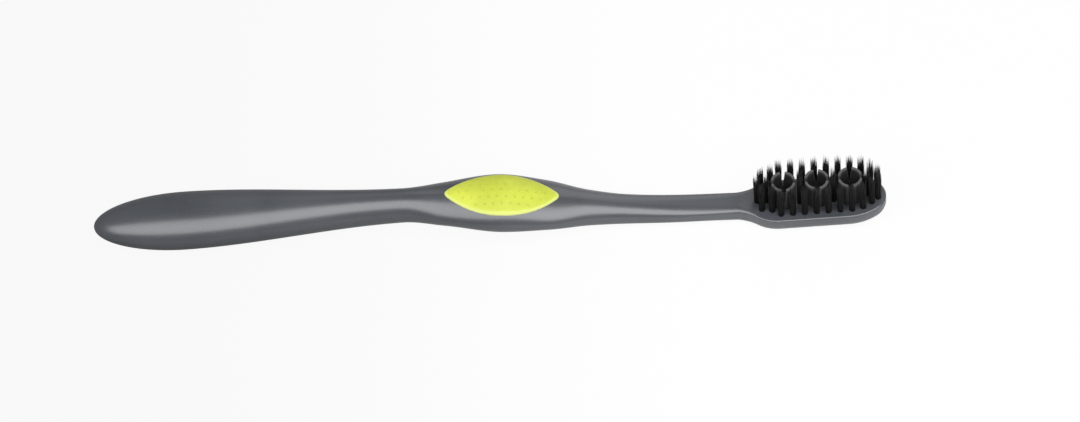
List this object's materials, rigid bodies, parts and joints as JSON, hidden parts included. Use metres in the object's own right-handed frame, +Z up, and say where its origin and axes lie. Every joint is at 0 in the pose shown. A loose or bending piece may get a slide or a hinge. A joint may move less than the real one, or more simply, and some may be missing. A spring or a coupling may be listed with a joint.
{
  "type": "manual toothbrush",
  "caption": "Manual toothbrush: waisted plastic handle with a rubber thumb grip, slim neck and a head of bristle tufts round rubber polishing cups, with a tongue cleaner on its back.",
  "frame": {"origin": "middle of the brush's box at ground level, with the brush lying on its back", "axes": "+X from the butt end towards the head's tip, +Z up, the way the bristles point, +Y across"},
  "size_m": [0.1902, 0.0156, 0.017],
  "materials": {
    "handle_plastic": "satin, faintly pearly charcoal grey",
    "grip_rubber": "satin lime green with small raised dots",
    "cup_rubber": "satin dark grey",
    "cleaner_rubber": "matt near-black",
    "bristle_nylon": "black tapered filaments",
    "anchor_brass": "bare flat wire"
  },
  "bodies": {
    "root": {"handle": "handle_plastic", "thumb_grip": "grip_rubber", "tongue_cleaner": "cleaner_rubber", "tuft_anchors": "anchor_brass", "tuft_01": "bristle_nylon", "tuft_02": "bristle_nylon", "tuft_03": "bristle_nylon", "tuft_04": "bristle_nylon", "tuft_05": "bristle_nylon", "tuft_06": "bristle_nylon", "tuft_07": "bristle_nylon", "tuft_08": "bristle_nylon", "tuft_09": "bristle_nylon", "tuft_10": "bristle_nylon", "tuft_11": "bristle_nylon", "tuft_12": "bristle_nylon", "tuft_13": "bristle_nylon", "tuft_14": "bristle_nylon", "tuft_15": "bristle_nylon", "tuft_16": "bristle_nylon", "tuft_17": "bristle_nylon", "tuft_18": "bristle_nylon", "tuft_19": "bristle_nylon", "tuft_20": "bristle_nylon", "tuft_21": "bristle_nylon", "tuft_22": "bristle_nylon", "tuft_23": "bristle_nylon", "tuft_24": "bristle_nylon", "tuft_25": "bristle_nylon", "tuft_26": "bristle_nylon", "tuft_27": "bristle_nylon", "tuft_28": "bristle_nylon", "tuft_29": "bristle_nylon", "tuft_30": "bristle_nylon", "tuft_31": "bristle_nylon", "polishing_cup_1": "cup_rubber", "polishing_cup_2": "cup_rubber", "polishing_cup_3": "cup_rubber"}
  },
  "joints": []
}
